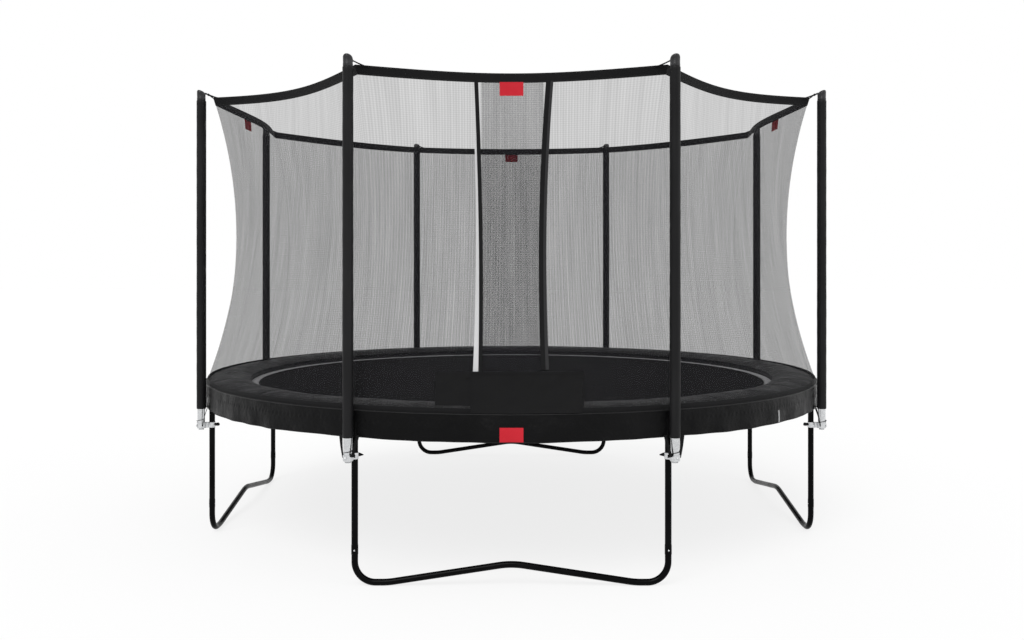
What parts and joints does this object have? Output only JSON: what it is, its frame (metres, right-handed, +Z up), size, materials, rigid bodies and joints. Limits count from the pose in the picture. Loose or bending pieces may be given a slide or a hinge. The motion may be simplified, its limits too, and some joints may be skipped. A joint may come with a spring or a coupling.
{
  "type": "trampoline",
  "caption": "Round garden trampoline on W-shaped legs, with a sprung mat, a spring pad, padded poles and an enclosure net with an overlapping entrance.",
  "frame": {"origin": "on the ground under the middle of the mat", "axes": "+Z up, -Y towards the entrance, +X to the right of someone facing the entrance"},
  "size_m": [3.8102, 3.8102, 2.5489],
  "materials": {
    "frame_paint": "gloss black paint",
    "zinc": "bright galvanised",
    "foam": "matt black foam with a sleeve",
    "cap_plastic": "satin moulded",
    "pad_cover": "satin black PVC over foam",
    "spring_wire": "zinc plated",
    "mat_weave": "fine woven",
    "webbing": "stitched webbing",
    "net_mesh": "fine knitted mesh"
  },
  "bodies": {
    "frame": {"frame_arc_back": "frame_paint", "frame_arc_front": "frame_paint", "frame_arc_left": "frame_paint", "frame_arc_right": "frame_paint", "frame_link_back_left": "frame_paint", "frame_link_front_right": "frame_paint", "frame_link_left_front": "frame_paint", "frame_link_right_back": "frame_paint", "leg_back": "frame_paint", "leg_front": "frame_paint", "leg_left": "frame_paint", "leg_right": "frame_paint", "net_back": "net_mesh", "net_back_left": "net_mesh", "net_front_inner_flap": "net_mesh", "net_front_outer_flap": "net_mesh", "net_front_right": "net_mesh", "net_left": "net_mesh", "net_left_front": "net_mesh", "net_right": "net_mesh", "net_right_back": "net_mesh", "net_top_band": "webbing", "pole_back_left": "zinc", "pole_back_right": "zinc", "pole_cap_back_left": "cap_plastic", "pole_cap_back_right": "cap_plastic", "pole_cap_front_left": "cap_plastic", "pole_cap_front_right": "cap_plastic", "pole_cap_left_back": "cap_plastic", "pole_cap_left_front": "cap_plastic", "pole_cap_right_back": "cap_plastic", "pole_cap_right_front": "cap_plastic", "pole_clamp_back_left": "zinc", "pole_clamp_back_right": "zinc", "pole_clamp_front_left": "zinc", "pole_clamp_front_right": "zinc", "pole_clamp_left_back": "zinc", "pole_clamp_left_front": "zinc", "pole_clamp_right_back": "zinc", "pole_clamp_right_front": "zinc", "pole_front_left": "zinc", "pole_front_right": "zinc", "pole_left_back": "zinc", "pole_left_front": "zinc", "pole_right_back": "zinc", "pole_right_front": "zinc", "pole_sleeve_back_left": "foam", "pole_sleeve_back_right": "foam", "pole_sleeve_front_left": "foam", "pole_sleeve_front_right": "foam", "pole_sleeve_left_back": "foam", "pole_sleeve_left_front": "foam", "pole_sleeve_right_back": "foam", "pole_sleeve_right_front": "foam", "spring_pad_back": "pad_cover", "spring_pad_front": "pad_cover", "spring_pad_left": "pad_cover", "spring_pad_right": "pad_cover", "springs": "spring_wire"},
    "mat": {"jumping_mat": "mat_weave"}
  },
  "joints": [
    {"name": "mat_bounce", "type": "slide", "parent": "frame", "child": "mat", "axis": [0, 0, 1], "range_m": [-0.25, 0], "stiffness_N_per_m": 4000, "springref_m": 0.02, "deforming": ["springs"]}
  ]
}
